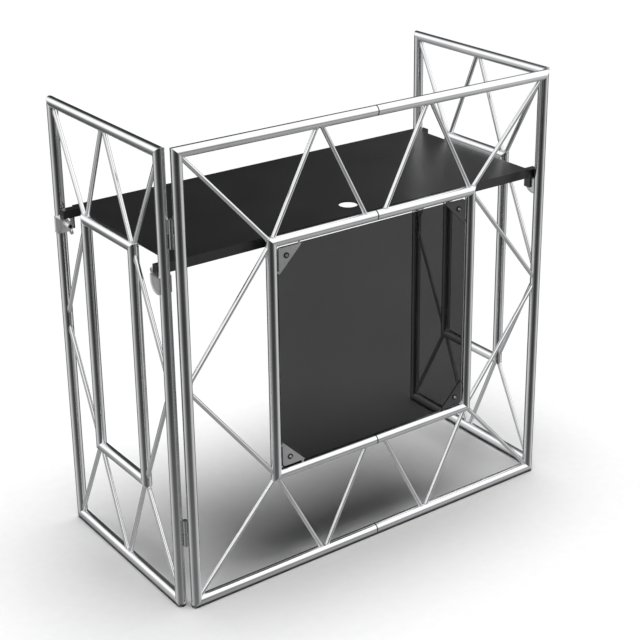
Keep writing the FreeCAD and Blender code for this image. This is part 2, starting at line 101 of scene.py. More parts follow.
class Sheet:
    """A node tree with short calls for adding and joining nodes."""

    def __init__(self, tree: bpy.types.NodeTree) -> None:
        """Start from an empty tree."""
        self.tree = tree
        self.tree.nodes.clear()

    def add(self, kind: str, **inputs: object) -> bpy.types.Node:
        """Add a node and set its inputs.

        Args:
            kind: Blender's name of the node type.
            **inputs: Values or sockets by input name, with spaces as underscores.

        Returns:
            The new node.
        """
        made = self.tree.nodes.new(kind)
        for name, value in inputs.items():
            self.put(made, name.replace("_", " "), value)
        return made

    def put(self, target: bpy.types.Node, name: str | int, value: object) -> None:
        """Set one input to a value, or join it to a socket.

        Args:
            target: The node.
            name: The input's name or number.
            value: The value or socket.
        """
        if isinstance(value, bpy.types.NodeSocket):
            self.tree.links.new(value, target.inputs[name])
        else:
            target.inputs[name].default_value = value

    def maths(self, operation: str, first: object, second: object = 0.0) -> bpy.types.NodeSocket:
        """Work out one sum on two values or sockets.

        Args:
            operation: Blender's name of the sum.
            first: The first value or socket.
            second: The second value or socket, where the sum has one.

        Returns:
            The socket with the result.
        """
        sum_node = self.tree.nodes.new("ShaderNodeMath")
        sum_node.operation = operation
        self.put(sum_node, 0, first)
        self.put(sum_node, 1, second)
        return sum_node.outputs[0]

    def noise(self, place: bpy.types.NodeSocket, scale: float, detail: float) -> bpy.types.NodeSocket:
        """A noise pattern's value at a place."""
        pattern = self.add("ShaderNodeTexNoise", Vector=place, Scale=scale, Detail=detail)
        return pattern.outputs["Fac"]

    def relief(self, pattern: bpy.types.NodeSocket, strength: float, height: float) -> bpy.types.NodeSocket:
        """The surface's direction where a pattern raises it."""
        raised = self.add("ShaderNodeBump", Height=pattern, Strength=strength, Distance=height)
        return raised.outputs["Normal"]

    def spread(
        self, value: object, low: float, high: float, start: float = PATTERN_LOW, end: float = PATTERN_HIGH
    ) -> bpy.types.NodeSocket:
        """Spread a pattern's usual range over a range of its own.

        Args:
            value: Socket of the pattern.
            low: Result at the start of the range.
            high: Result at the end of the range.
            start: Pattern value that gives low.
            end: Pattern value that gives high.

        Returns:
            The socket with the result.
        """
        ranged = self.add("ShaderNodeMapRange", Value=value)
        self.put(ranged, "From Min", start)
        self.put(ranged, "From Max", end)
        self.put(ranged, "To Min", low)
        self.put(ranged, "To Max", high)
        return ranged.outputs["Result"]

    def tones(self, value: object, dark: Colour, light: Colour) -> bpy.types.NodeSocket:
        """A colour between two tones, by a pattern's value.

        Args:
            value: Socket of the pattern.
            dark: Colour at the start of the pattern's usual range.
            light: Colour at its end.

        Returns:
            The socket with the colour.
        """
        ramp = self.add("ShaderNodeValToRGB", Fac=value)
        first, second = ramp.color_ramp.elements
        first.position, second.position = PATTERN_LOW, PATTERN_HIGH
        first.color, second.color = (*dark, 1.0), (*light, 1.0)
        return ramp.outputs["Color"]

    def profile(self, value: object, stops: Stops) -> bpy.types.NodeSocket:
        """A grey read from a smooth row of stops.

        Args:
            value: Where to read, from 0 to 1.
            stops: Pairs of a place and the grey there.

        Returns:
            The socket with the grey.
        """
        ramp = self.add("ShaderNodeValToRGB", Fac=value)
        ramp.color_ramp.interpolation = "EASE"
        first, *others = stops
        ramp.color_ramp.elements.remove(ramp.color_ramp.elements[1])
        ramp.color_ramp.elements[0].position = first[0]
        ramp.color_ramp.elements[0].color = (first[1], first[1], first[1], 1.0)
        for place, grey in others:
            stop = ramp.color_ramp.elements.new(place)
            stop.color = (grey, grey, grey, 1.0)
        return ramp.outputs["Color"]

    def mix(self, share: object, first: object, second: object) -> bpy.types.NodeSocket:
        """Mix two colours by a share.

        Args:
            share: 0 for the first colour, 1 for the second.
            first: A grey, a colour with its alpha, or a socket.
            second: A grey, a colour with its alpha, or a socket.

        Returns:
            The socket with the mixed colour.
        """
        mixer = self.add("ShaderNodeMix")
        mixer.data_type = "RGBA"
        self.put(mixer, MIX_SHARE, share)
        for number, part in ((MIX_FIRST, first), (MIX_SECOND, second)):
            self.put(mixer, number, (part, part, part, 1.0) if isinstance(part, float) else part)
        return mixer.outputs[MIX_COLOUR]


@dataclass(frozen=True)
class Finish(ABC):
    """What every finish has: a name, two close tones and a range of roughness."""

    name: str
    dark: Colour
    light: Colour
    smooth: float
    rough: float

    def start(self) -> tuple[bpy.types.Material, Sheet, bpy.types.Node]:
        """Make the material with its surface shader.

        Returns:
            The material, its node sheet and the surface shader.
        """
        material = bpy.data.materials.new(self.name)
        material.use_nodes = True
        sheet = Sheet(material.node_tree)
        surface = sheet.add("ShaderNodeBsdfPrincipled")
        end = sheet.add("ShaderNodeOutputMaterial")
        sheet.put(end, "Surface", surface.outputs["BSDF"])
        return material, sheet, surface

    @abstractmethod
    def material(self) -> bpy.types.Material:
        """Make the finish's material."""


@dataclass(frozen=True)
class DrawnMetal(Finish):
    """Bright metal with fine drawing lines and patches of handling."""

    grain: Grain = Grain.EVEN
    line_scale: float = 1400.0
    patch_scale: float = 11.0
    relief: float = 0.000004
    line_detail: float = 3.0
    patch_detail: float = 5.0
    streak: float = 0.02
    bump: float = 0.3

    def material(self) -> bpy.types.Material:
        """Make the metal's material."""
        material, sheet, surface = self.start()
        place = sheet.add("ShaderNodeTexCoord").outputs["Object"]
        stretched = sheet.add("ShaderNodeMapping", Vector=place, Scale=self.grain.value).outputs["Vector"]
        lines = sheet.noise(stretched, self.line_scale, self.line_detail)
        patches = sheet.noise(place, self.patch_scale, self.patch_detail)
        sheet.put(surface, "Base Color", self.tint(sheet, place, patches))
        blur = sheet.spread(patches, self.smooth, self.rough)
        streaks = sheet.spread(lines, -self.streak, self.streak)
        sheet.put(surface, "Roughness", sheet.maths("ADD", blur, streaks))
        sheet.put(surface, "Normal", sheet.relief(lines, self.bump, self.relief))
        sheet.put(surface, "Metallic", 1.0)
        return material

    def tint(
        self, sheet: Sheet, place: bpy.types.NodeSocket, patches: bpy.types.NodeSocket
    ) -> bpy.types.NodeSocket:
        """The metal's colour.

        Args:
            sheet: The node sheet.
            place: Where on the piece the colour is read.
            patches: The pattern of handling.

        Returns:
            The socket with the colour.
        """
        return sheet.tones(patches, self.dark, self.light)


@dataclass(frozen=True)
class FrameTube(DrawnMetal):
    """Bright tube, with painted shade in the seam at the plugged joint in the booth's middle and a painted
    contact shadow where it rests on the floor.
    """

    # The painted shade's colour, and the distances in metres, from the joint and from the floor, at which it
    # is full and at which it ends.
    painted_shade: Colour = (0.03, 0.03, 0.03)
    seam_shade_full: float = 0.0011
    joint_end: float = 0.0019
    contact_shade_full: float = 0.004
    floor_end: float = 0.009

    def tint(
        self, sheet: Sheet, place: bpy.types.NodeSocket, patches: bpy.types.NodeSocket
    ) -> bpy.types.NodeSocket:
        """The tube's colour, with painted shade beside the joint and a painted contact shadow close to the
        floor.

        Args:
            sheet: The node sheet.
            place: Where on the piece the colour is read.
            patches: The pattern of handling.

        Returns:
            The socket with the colour.
        """
        where = sheet.add("ShaderNodeSeparateXYZ", Vector=place)
        # Painted shade in the seam beside the joint, and a painted contact shadow on the underside close to
        # the floor.
        from_joint = sheet.maths("ABSOLUTE", where.outputs["X"])
        joint = sheet.spread(from_joint, 0.0, 1.0, self.seam_shade_full, self.joint_end)
        underside = sheet.spread(where.outputs["Z"], 0.0, 1.0, self.contact_shade_full, self.floor_end)
        unshaded = sheet.maths("MINIMUM", joint, underside)
        return sheet.mix(unshaded, (*self.painted_shade, 1.0), sheet.tones(patches, self.dark, self.light))


@dataclass(frozen=True)
class CastMetal(Finish):
    """Tumbled cast metal with a pebbled skin."""

    pebble_scale: float = 700.0
    relief: float = 0.00012
    pebble_detail: float = 4.0
    stain_scale: float = 60.0
    stain_detail: float = 5.0
    bump: float = 0.6

    def material(self) -> bpy.types.Material:
        """Make the casting's material."""
        material, sheet, surface = self.start()
        place = sheet.add("ShaderNodeTexCoord").outputs["Object"]
        pebbles = sheet.noise(place, self.pebble_scale, self.pebble_detail)
        stains = sheet.noise(place, self.stain_scale, self.stain_detail)
        sheet.put(surface, "Base Color", sheet.tones(stains, self.dark, self.light))
        sheet.put(surface, "Roughness", sheet.spread(pebbles, self.smooth, self.rough))
        sheet.put(surface, "Normal", sheet.relief(pebbles, self.bump, self.relief))
        sheet.put(surface, "Metallic", 1.0)
        return material


@dataclass(frozen=True)
class CoatedSkin(Finish):
    """A coloured skin such as powder coat, moulded plastic or rubber, with a fine texture."""

    texture_scale: float = 900.0
    relief: float = 0.00008
    gloss: float = 0.5
    texture_detail: float = 3.0
    handling_scale: float = 7.0
    handling_detail: float = 6.0
    bump: float = 0.5

    def material(self) -> bpy.types.Material:
        """Make the skin's material."""
        material, sheet, surface = self.start()
        place = sheet.add("ShaderNodeTexCoord").outputs["Object"]
        texture = sheet.noise(place, self.texture_scale, self.texture_detail)
        handling = sheet.noise(place, self.handling_scale, self.handling_detail)
        sheet.put(surface, "Base Color", sheet.tones(texture, self.dark, self.light))
        sheet.put(surface, "Roughness", sheet.spread(handling, self.smooth, self.rough))
        sheet.put(surface, "Normal", sheet.relief(texture, self.bump, self.relief))
        sheet.put(surface, "Specular IOR Level", self.gloss)
        return material


@dataclass(frozen=True)
class SmokedSheet(Finish):
    """A smoke-tinted clear sheet with a slightly uneven tint and faint wiping marks.

    Its bend is the index of refraction.
    """

    bend: float = 1.16
    tint_scale: float = 5.0
    tint_detail: float = 2.0
    wipe_scale: float = 18.0
    wipe_detail: float = 5.0

    def material(self) -> bpy.types.Material:
        """Make the sheet's material."""
        material, sheet, surface = self.start()
        place = sheet.add("ShaderNodeTexCoord").outputs["Object"]
        tint = sheet.noise(place, self.tint_scale, self.tint_detail)
        wipes = sheet.noise(place, self.wipe_scale, self.wipe_detail)
        sheet.put(surface, "Base Color", sheet.tones(tint, self.dark, self.light))
        sheet.put(surface, "Roughness", sheet.spread(wipes, self.smooth, self.rough))
        sheet.put(surface, "IOR", self.bend)
        sheet.put(surface, "Transmission Weight", 1.0)
        return material


BRIGHT_DARK: Colour = (0.76, 0.77, 0.78)
BRIGHT_LIGHT: Colour = (0.86, 0.86, 0.87)

TUBES = {
    grain: FrameTube(f"bright_tube_{grain.name.lower()}", BRIGHT_DARK, BRIGHT_LIGHT, 0.08, 0.15, grain)
    for grain in Grain
}
ROD = DrawnMetal("bright_rod", BRIGHT_DARK, BRIGHT_LIGHT, 0.1, 0.15, relief=0.000001)
WELD = DrawnMetal("weld_metal", (0.62, 0.62, 0.63), (0.8, 0.8, 0.8), 0.24, 0.42, line_scale=2400.0)
# Lit and shaded copies of one brushed plate metal: the lighter tone is a painted reflection, the darker tone
# is painted shade.
PLATE_PAINTED_HIGHLIGHT = DrawnMetal("brushed_plate", (0.54, 0.54, 0.55), (0.66, 0.66, 0.67), 0.32, 0.45, Grain.ALONG_X)
PLATE_PAINTED_SHADE = DrawnMetal("brushed_plate_painted_shade", (0.12, 0.12, 0.124), (0.16, 0.16, 0.164), 0.34, 0.46, Grain.ALONG_X)
DULL_BAR = DrawnMetal("dull_bar", (0.05, 0.05, 0.052), (0.08, 0.08, 0.083), 0.45, 0.6, Grain.ALONG_X)
CASTING = CastMetal("tumbled_casting", (0.78, 0.78, 0.79), (0.92, 0.92, 0.93), 0.26, 0.38)
PLATED = DrawnMetal("zinc_plating", (0.55, 0.56, 0.58), (0.7, 0.7, 0.71), 0.2, 0.34)
SCREW = DrawnMetal("dark_plating", (0.34, 0.34, 0.345), (0.44, 0.44, 0.445), 0.1, 0.18)
STUD = DrawnMetal("blackened_steel", (0.05, 0.05, 0.052), (0.1, 0.1, 0.103), 0.24, 0.38)
COAT = CoatedSkin(
    "black_powder_coat", (0.003, 0.003, 0.0032), (0.006, 0.006, 0.0063), 0.27, 0.34,
    texture_scale=240.0, relief=0.0008, gloss=1.0,
)
PLUG = CoatedSkin("moulded_plug", (0.01, 0.01, 0.01), (0.02, 0.02, 0.02), 0.42, 0.55, texture_scale=1500.0)
RUBBER = CoatedSkin(
    "rubber_washer", (0.012, 0.012, 0.012), (0.025, 0.025, 0.025), 0.6, 0.75,
    texture_scale=2200.0, gloss=0.35,
)
SMOKE = SmokedSheet("smoked_acrylic", (0.05, 0.05, 0.051), (0.055, 0.055, 0.056), 0.0, 0.004)
FLOOR = CoatedSkin(
    "studio_floor", (0.8, 0.8, 0.8), (0.82, 0.82, 0.82), 0.85, 0.95, texture_scale=40.0, gloss=0.0,
)


@dataclass
class Paints:
    """The booth's materials, made once each."""

    made: dict[str, bpy.types.Material] = field(default_factory=dict)

    def get(self, finish: Finish) -> bpy.types.Material:
        """The material of a finish.

        Args:
            finish: The finish.

        Returns:
            Its material, made at the first call.
        """
        if finish.name not in self.made:
            self.made[finish.name] = finish.material()
        return self.made[finish.name]

    def dress(self, names: list[str], finish: Finish) -> None:
        """Give CAD nodes a finish and report each.

        Args:
            names: The nodes.
            finish: Their finish.
        """
        for name in names:
            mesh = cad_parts[name].data
            mesh.materials.clear()
            mesh.materials.append(self.get(finish))
            log.info("%s: %s", name, finish.name)

    def carry(
        self, name: str, solid: bmesh.types.BMesh, body: str, slot: str, finish: Finish,
        largest_smooth: float = math.inf,
    ) -> bpy.types.Object:
        """Turn a built mesh into a finished piece that rides on a body.

        Args:
            name: The piece's name.
            solid: Its mesh, which is freed.
            body: The CAD body that carries it.
            slot: The record's material slot; not used.
            finish: The finish to give it.
            largest_smooth: The area above which a face is flat, in square metres.

        Returns:
            The piece.
        """
        mesh = bpy.data.meshes.new(name)
        bmesh.ops.recalc_face_normals(solid, faces=solid.faces)
        for face in solid.faces:
            face.smooth = face.calc_area() <= largest_smooth
        solid.to_mesh(mesh)
        solid.free()
        mesh.materials.append(self.get(finish))
        piece = bpy.data.objects.new(name, mesh)
        bpy.context.scene.collection.objects.link(piece)
        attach(piece, body)
        log.info("%s: %s", name, finish.name)
        return piece


@dataclass(frozen=True)
class Tubing:
    """The booth's layout, in metres, as the CAD has it."""

    half_width: float = 0.5135
    bottom: float = 0.0125
    top: float = 1.0825
    front: float = -0.253
    window_half: float = 0.2875
    wing_offset: float = 0.026
    wing_depth: float = 0.48
    wing_window_half: float = 0.108
    tube_radius: float = 0.0125
    brace_radius: float = 0.00525
    foot_offset: float = 0.0025
    rail_foot: float = 0.155
    seam_foot: float = 0.024
    hinge_half_spread: float = 0.358
    hinge_half: float = 0.033
    hinge_gap: float = 0.0003
    hinge_web: float = 0.0025

    @property
    def middle(self) -> float:
        """Height of the frames' middle."""
        return (self.bottom + self.top) / 2

    def rail_height(self, level: Level) -> float:
        """Height of the top or bottom rails."""
        return self.top if level is Level.TOP else self.bottom

    def window_height(self, level: Level) -> float:
        """Height of the window's top or bottom rail."""
        return self.middle + level.value * self.window_half


@dataclass
class Beads:
    """A set of weld beads that grows into one mesh."""

    layout: Tubing
    radius: float
    ripple: float = 0.14
    ripples: int = 14
    round_steps: int = 6
    solid: bmesh.types.BMesh = field(default_factory=bmesh.new)

    def sweep(self, path: list[Vector], outward: list[Vector], closed: bool) -> None:
        """Sweep a rippled bead along a path.

        Args:
            path: The points that the bead follows.
            outward: At each point, the direction in which the bead stands off.
            closed: Whether the path comes back to its start.
        """
        count = len(path)
        rings = []
        for index, point in enumerate(path):
            after = path[(index + 1) % count] if closed or index + 1 < count else point
            before = path[index - 1] if closed or index > 0 else point
            along = (after - before).normalized()
            rise = outward[index].normalized()
            across = along.cross(rise).normalized()
            swell = self.radius * (1 + self.ripple * math.cos(math.tau * self.ripples * index / count))
            ring = []
            for step in range(self.round_steps):
                turn = math.tau * step / self.round_steps
                offset = across * math.cos(turn) + rise * math.sin(turn)
                ring.append(self.solid.verts.new(point + offset * swell))
            rings.append(ring)
        last = count if closed else count - 1
        for index in range(last):
            here, there = rings[index], rings[(index + 1) % count]
            for step in range(self.round_steps):
                beside = (step + 1) % self.round_steps
                self.solid.faces.new((here[step], here[beside], there[beside], there[step]))
        if not closed:
            self.solid.faces.new(rings[0])
            self.solid.faces.new(list(reversed(rings[-1])))

    def foot(self, point: Vector, towards: Vector, runs: list[Vector], steps: int = 42) -> None:
        """A bead round a brace's foot, where the brace leaves one tube or a mitred corner.

        Args:
            point: Where the brace's axis meets the tube's axis.
            towards: A point further along the brace.
            runs: The direction of the tube, or of both tubes of a corner.
            steps: How many points the bead has.
        """
        along = (towards - point).normalized()
        first = (runs[0] - along * runs[0].dot(along)).normalized()
        second = along.cross(first)
        path = []
        outward = []
        for step in range(steps):
            turn = math.tau * step / steps
            spoke = first * math.cos(turn) + second * math.sin(turn)
            path.append(point + self.landing(along, spoke, runs))
            outward.append(spoke + along)
        self.sweep(path, outward, True)

    def landing(self, along: Vector, spoke: Vector, runs: list[Vector]) -> Vector:
        """Where one line of a brace's skin enters the tube it stands on.

        Args:
            along: The brace's direction.
            spoke: From the brace's axis to the line.
            runs: The directions of the tubes under it.

        Returns:
            The place, measured from the brace's foot.
        """
        side = spoke * self.layout.brace_radius
        best = None
        for number, run in enumerate(runs):
            flat_along = along - run * along.dot(run)
            flat_side = side - run * side.dot(run)
            square = flat_along.length_squared
            linear = 2 * flat_along.dot(flat_side)
            constant = flat_side.length_squared - self.layout.tube_radius**2
            root = math.sqrt(max(linear * linear - 4 * square * constant, 0.0))
            reach = (-linear + root) / (2 * square)
            place = along * reach + side
            other = runs[number - 1]
            if best is None or len(runs) == 1 or place.dot(run - other) >= 0:
                best = place
        return best

    def mitre(self, corner: Vector, runs: list[Vector], steps: int = 56) -> None:
        """A thin bead round the cut where two tubes meet at a corner.

        Args:
            corner: Where the tubes' axes meet.
            runs: The directions of the two tubes, away from the corner.
            steps: How many points the bead has.
        """
        slant = (runs[0] + runs[1]).normalized() * self.layout.tube_radius * math.sqrt(2)
        broad = runs[0].cross(runs[1]).normalized() * self.layout.tube_radius
        turns = [math.tau * step / steps for step in range(steps)]
        path = [corner + slant * math.cos(turn) + broad * math.sin(turn) for turn in turns]
        self.sweep(path, [point - corner for point in path], True)

    def line(self, start: Vector, end: Vector, outward: Vector, steps: int = 36) -> None:
        """A straight bead between two points.

        Args:
            start: Its first point.
            end: Its last point.
            outward: The direction in which it stands off.
            steps: How many lengths it has.
        """
        path = [start.lerp(end, step / steps) for step in range(steps + 1)]
        self.sweep(path, [outward] * len(path), False)


@dataclass
class FrontFrame:
    """The front frame in two halves, with its window and braces."""

    layout: Tubing
    paints: Paints
    bead_radius: float = 0.0013
    mitre_bead_radius: float = 0.0004

    def dress(self) -> None:
        """Give the tubes and rods their finish, with the drawing lines along each tube."""
        upright = []
        flat = []
        for side in Side:
            upright += [f"front_{side.word}_post", f"window_{side.word}_post"]
            for level in Level:
                flat += [f"front_{level.word}_rail_{side.word}", f"window_{level.word}_rail_{side.word}"]
        rods = [f"front_{side.word}_braces" for side in Side]
        self.paints.dress(upright, TUBES[Grain.ALONG_Z])
        self.paints.dress(flat, TUBES[Grain.ALONG_X])
        self.paints.dress(["rail_spigots"], DULL_BAR)
        self.paints.dress(rods, ROD)

    def point(self, x: float, z: float) -> Vector:
        """A point in the front frame's plane."""
        return Vector((x, self.layout.front, z))

    def build_brace_welds(self) -> None:
        """Lay a bead round both feet of every rod."""
        tubing = self.layout
        beads = Beads(tubing, self.bead_radius)
        for side in Side:
            for level in Level:
                x, lift = side.value, level.value
                rail, window = tubing.rail_height(level), tubing.window_height(level)
                corner = self.point(x * tubing.half_width, rail)
                inner = self.point(x * tubing.window_half, window)
                far_foot = self.point(x * (tubing.rail_foot + tubing.foot_offset), rail)
                near_foot = self.point(x * (tubing.rail_foot - tubing.foot_offset), rail)
                seam_foot = self.point(x * tubing.seam_foot, window)
                post_foot = self.point(x * tubing.half_width, tubing.middle + lift * tubing.foot_offset)
                inwards = [Vector((-x, 0, 0)), Vector((0, 0, -lift))]
                rail_run = [Vector((1, 0, 0))]
                post_run = [Vector((0, 0, 1))]
                beads.foot(corner, inner, inwards)
                beads.foot(inner, corner, inwards)
                beads.foot(inner, far_foot, inwards)
                beads.foot(far_foot, inner, rail_run)
                beads.foot(near_foot, seam_foot, rail_run)
                beads.foot(seam_foot, near_foot, rail_run)
                beads.foot(inner, post_foot, inwards)
                beads.foot(post_foot, inner, post_run)
        self.paints.carry("front_brace_welds", beads.solid, FRAME_BODY, TUBE_SLOT, WELD)

    def build_corner_welds(self) -> None:
        """Lay a dressed-down bead round every mitre of the frame and its window."""
        tubing = self.layout
        beads = Beads(tubing, self.mitre_bead_radius)
        for side in Side:
            for level in Level:
                x = side.value
                inwards = [Vector((-x, 0, 0)), Vector((0, 0, -level.value))]
                beads.mitre(self.point(x * tubing.half_width, tubing.rail_height(level)), inwards)
                beads.mitre(self.point(x * tubing.window_half, tubing.window_height(level)), inwards)
        self.paints.carry("front_corner_welds", beads.solid, FRAME_BODY, TUBE_SLOT, WELD)


@dataclass
class Wing:
    """One side wing with its narrow window and braces."""

    side: Side
    layout: Tubing
    paints: Paints
    bead_radius: float = 0.0013
    mitre_bead_radius: float = 0.0004

    @property
    def body(self) -> str:
        """The CAD body of this wing."""
        return f"{self.side.word}_wing"

    @property
    def front_post(self) -> float:
        """Where the wing's front post stands, along Y."""
        return self.layout.front + self.layout.wing_offset

    def point(self, y: float, z: float) -> Vector:
        """A point in the wing's plane."""
        return Vector((self.side.value * (self.layout.half_width + self.layout.wing_offset), y, z))

    def dress(self) -> None:
        """Give the tubes, rods and hinge knuckles their finish."""
        upright = [f"{self.body}_{end.word}_post" for end in End]
        upright += [f"{self.body}_window_{end.word}_post" for end in End]
        flat = [f"{self.body}_{level.word}_rail" for level in Level]
        flat += [f"{self.body}_window_{level.word}_rail" for level in Level]
        self.paints.dress(upright, TUBES[Grain.ALONG_Z])
        self.paints.dress(flat, TUBES[Grain.ALONG_Y])
        self.paints.dress([f"{self.body}_braces"], ROD)
        self.paints.dress([f"{self.body}_hinge_knuckles"], TUBES[Grain.EVEN])

    def build_welds(self) -> None:
        """Lay the beads round the rods' feet and the mitres."""
        tubing = self.layout
        feet = Beads(tubing, self.bead_radius)
        mitres = Beads(tubing, self.mitre_bead_radius)
        centre = self.front_post + tubing.wing_depth / 2
        for end in End:
            way = end.value
            post = centre + way * tubing.wing_depth / 2
            window_post = centre + way * tubing.wing_window_half
            for level in Level:
                lift = level.value
                rail, window = tubing.rail_height(level), tubing.window_height(level)
                corner = self.point(post, rail)
                inner = self.point(window_post, window)
                outer_foot = self.point(window_post + way * tubing.foot_offset, window)
                inner_foot = self.point(window_post - way * tubing.foot_offset, window)
                middle_foot = self.point(centre + way * tubing.foot_offset, rail)
                post_foot = self.point(post, tubing.middle + lift * tubing.foot_offset)
                inwards = [Vector((0, -way, 0)), Vector((0, 0, -lift))]
                rail_run = [Vector((0, 1, 0))]
                post_run = [Vector((0, 0, 1))]
                feet.foot(corner, outer_foot, inwards)
                feet.foot(outer_foot, corner, inwards)
                feet.foot(inner_foot, middle_foot, rail_run)
                feet.foot(middle_foot, inner_foot, rail_run)
                feet.foot(inner, post_foot, inwards)
                feet.foot(post_foot, inner, post_run)
                mitres.mitre(corner, inwards)
                mitres.mitre(inner, inwards)
        self.paints.carry(f"{self.body}_brace_welds", feet.solid, self.body, TUBE_SLOT, WELD)
        self.paints.carry(f"{self.body}_corner_welds", mitres.solid, self.body, TUBE_SLOT, WELD)


@dataclass
class Hinges:
    """The weld-on hinges between the front posts and the wings."""

    layout: Tubing
    paints: Paints
    bead_radius: float = 0.0011
    ripples: int = 18

    def dress(self) -> None:
        """Give the frame's knuckles and the pins their finish."""
        self.paints.dress(["frame_hinge_knuckles"], TUBES[Grain.EVEN])
        self.paints.dress(["hinge_pins"], PLATED)

    def build_welds(self) -> None:
        """Lay two upright beads where each knuckle's web meets its post."""
        frame_beads = Beads(self.layout, self.bead_radius, ripples=self.ripples)
        for side in Side:
            wing_beads = Beads(self.layout, self.bead_radius, ripples=self.ripples)
            for level in Level:
                middle = self.layout.middle + level.value * self.layout.hinge_half_spread
                low = (middle - self.layout.hinge_half, middle - self.layout.hinge_gap)
                high = (middle + self.layout.hinge_gap, middle + self.layout.hinge_half)
                self.weld_web(frame_beads, side, -1, low)
                self.weld_web(wing_beads, side, 1, high)
            body = f"{side.word}_wing"
            self.paints.carry(f"{body}_hinge_welds", wing_beads.solid, body, TUBE_SLOT, WELD)
        self.paints.carry("frame_hinge_welds", frame_beads.solid, FRAME_BODY, TUBE_SLOT, WELD)

    def weld_web(self, beads: Beads, side: Side, way: int, heights: tuple[float, float]) -> None:
        """Weld one knuckle's web to its post.

        Args:
            beads: The set that the beads join.
            side: The side of the booth.
            way: -1 for the front frame's post and 1 for the wing's.
            heights: The web's lowest and highest point.
        """
        tubing = self.layout
        half_step = tubing.wing_offset / 2
        axis = Vector((side.value * (tubing.half_width + half_step), tubing.front + half_step, 0))
        to_post = Vector((side.value * way, way, 0)).normalized()
        post = axis + to_post * half_step * math.sqrt(2)
        across = Vector((-to_post.y, to_post.x, 0))
        for edge in (-1, 1):
            offset = across * edge * tubing.hinge_web
            depth = math.sqrt(tubing.tube_radius**2 - tubing.hinge_web**2)
            foot = post - to_post * depth + offset
            start, end = (foot + Vector((0, 0, height)) for height in heights)
            beads.line(start, end, across * edge - to_post)


@dataclass
class SmokedWindow:
    """The smoked sheet with its corner plates, screws and washers."""

    paints: Paints

    def dress(self) -> None:
        """Give the sheet and its fittings their finish."""
        self.paints.dress(["smoked_panel"], SMOKE)
        # All four corner plates are one metal; the left ones get the copy with painted reflection, the right
        # ones the copy with painted shade.
        self.paints.dress(["left_gussets"], PLATE_PAINTED_HIGHLIGHT)
        self.paints.dress(["right_gussets"], PLATE_PAINTED_SHADE)
        self.paints.dress(["panel_screws"], SCREW)
        self.paints.dress(["panel_washers"], RUBBER)


@dataclass
class Table:
    """The tabletop on its bars."""

    paints: Paints

    def dress(self) -> None:
        """Give the top, bars, tabs and plugs their finish."""
        self.paints.dress(["tabletop", "table_front_bar", "table_rear_bar", "bar_tabs"], COAT)
        self.paints.dress(["bar_end_plugs"], PLUG)


@dataclass
class Clamp:
    """One post clamp: a casting round the post, its stud and its wing nut.

    Lengths are in metres, areas in square metres and turns in radians.
    """

    side: Side
    end: End
    paints: Paints
    weld_distance: float = 0.000001
    flat_turn: float = math.radians(1.0)
    sharp_turn: float = math.radians(30.0)
    saddle_edge: float = 0.001
    nut_edge: float = 0.0007
    edge_steps: int = 2
    edge_profile: float = 0.5
    flank_facing: float = 0.9
    flank_area: float = 0.0008
    rim: float = 0.0036
    pocket: float = 0.0012
    largest_smooth: float = 0.00009

    @property
    def corner(self) -> str:
        """The corner's name as the nodes spell it."""
        return f"{self.side.word}_{self.end.word}"

    def dress(self) -> None:
        """Give the plain pieces their finish."""
        self.paints.dress([f"{self.corner}_clamp_saddle", f"{self.corner}_wing_nut"], CASTING)
        self.paints.dress([f"{self.corner}_clamp_stud"], STUD)

    def copy(self, node: str) -> bmesh.types.BMesh:
        """A clean copy of a CAD node's mesh, with each flat side as one face.

        Args:
            node: The CAD node.

        Returns:
            The copy.
        """
        solid = bmesh.new()
        solid.from_mesh(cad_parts[node].data)
        bmesh.ops.remove_doubles(solid, verts=solid.verts, dist=self.weld_distance)
        bmesh.ops.dissolve_limit(solid, angle_limit=self.flat_turn, verts=solid.verts, edges=solid.edges)
        return solid

    def soften(self, solid: bmesh.types.BMesh, radius: float) -> None:
        """Round the sharp edges, as on a tumbled casting.

        Args:
            solid: The mesh to round.
            radius: How far the rounding reaches from each edge.
        """
        edges = [edge for edge in solid.edges if edge.calc_face_angle(0.0) > self.sharp_turn]
        bmesh.ops.bevel(
            solid, geom=edges, offset=radius, segments=self.edge_steps,
            profile=self.edge_profile, affect="EDGES", clamp_overlap=True,
        )

    def build_casting(self) -> None:
        """Build the casting with a sunk pocket inside a rim on both flanks."""
        node = f"{self.corner}_clamp_saddle"
        solid = self.copy(node)
        flanks = [
            face for face in solid.faces
            if abs(face.normal.x) > self.flank_facing and face.calc_area() > self.flank_area
        ]
        bmesh.ops.inset_individual(
            solid, faces=flanks, thickness=self.rim, depth=-self.pocket, use_even_offset=True,
        )
        self.soften(solid, self.saddle_edge)
        name = f"{self.corner}_clamp_casting"
        piece = self.paints.carry(
            name, solid, f"{self.side.word}_wing", CAST_SLOT, CASTING, self.largest_smooth,
        )
        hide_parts(node)

    def build_nut(self) -> None:
        """Build the wing nut with rounded edges."""
        node = f"{self.corner}_wing_nut"
        solid = self.copy(node)
        self.soften(solid, self.nut_edge)
        name = f"{self.corner}_nut_casting"
        piece = self.paints.carry(name, solid, node, CAST_SLOT, CASTING, self.largest_smooth)
        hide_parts(node)


@dataclass(frozen=True)
class Lamp:
    """A wide overhead light: its name, strength, spread and tilt, with angles in degrees."""

    name: str
    strength: float
    spread: float
    tilt: tuple[float, float]


@dataclass(frozen=True)
class Softbox:
    """A bright sheet in the room: its direction, how far it reaches, and its glow.

    The reach is the cosine of the angle at which it is full and at which it ends.
    """

    way: Way
    inner: float
    outer: float
    glow: float


